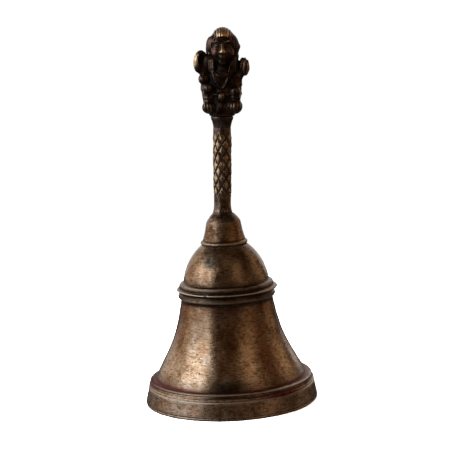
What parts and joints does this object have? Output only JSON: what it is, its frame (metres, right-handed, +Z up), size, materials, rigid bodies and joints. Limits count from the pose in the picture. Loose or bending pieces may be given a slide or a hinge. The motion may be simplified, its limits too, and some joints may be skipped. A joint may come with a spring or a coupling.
{
  "type": "hand bell",
  "caption": "Brass puja hand bell: a turned bell with a collar, a scaled shaft and a kneeling winged figure as the handle, and a hanging clapper inside.",
  "frame": {"origin": "centre of the bell's mouth, on the plane that the rim stands on", "axes": "+Z up along the bell's axis, through the crown towards the handle; the figure faces -Y; the handle leans slightly towards +X"},
  "size_m": [0.09, 0.09, 0.1934],
  "materials": {
    "turned_brass": "turned and worn, brown patina with fine turning scratches and dark pits",
    "collar_brass": "turned, darker patina with a rough brazed ring at the shaft",
    "cast_brass": "cast and engraved, dark patina with worn golden high spots",
    "figure_brass": "cast, very dark patina with worn golden high spots",
    "plain_brass": "turned, dull",
    "iron": "forged, dark and slightly rusty"
  },
  "bodies": {
    "bell": {"bell_shell": "turned_brass", "handle_collar": "collar_brass", "handle_shaft": "cast_brass", "handle_figure": "figure_brass", "eye_bolt": "iron", "crown_washer": "plain_brass", "crown_nut": "plain_brass"},
    "ring": {"hanger_ring": "iron"},
    "clapper": {"clapper_rod": "iron", "clapper_bob": "plain_brass"}
  },
  "joints": [
    {"name": "ring_swing", "type": "hinge", "parent": "bell", "child": "ring", "pos_m": [0, 0, 0.0667], "axis": [0, 1, 0], "range_deg": [-24, 24]},
    {"name": "clapper_swing", "type": "hinge", "parent": "ring", "child": "clapper", "pos_m": [0, 0, 0.0605], "axis": [1, 0, 0], "range_deg": [-8, 8]}
  ]
}
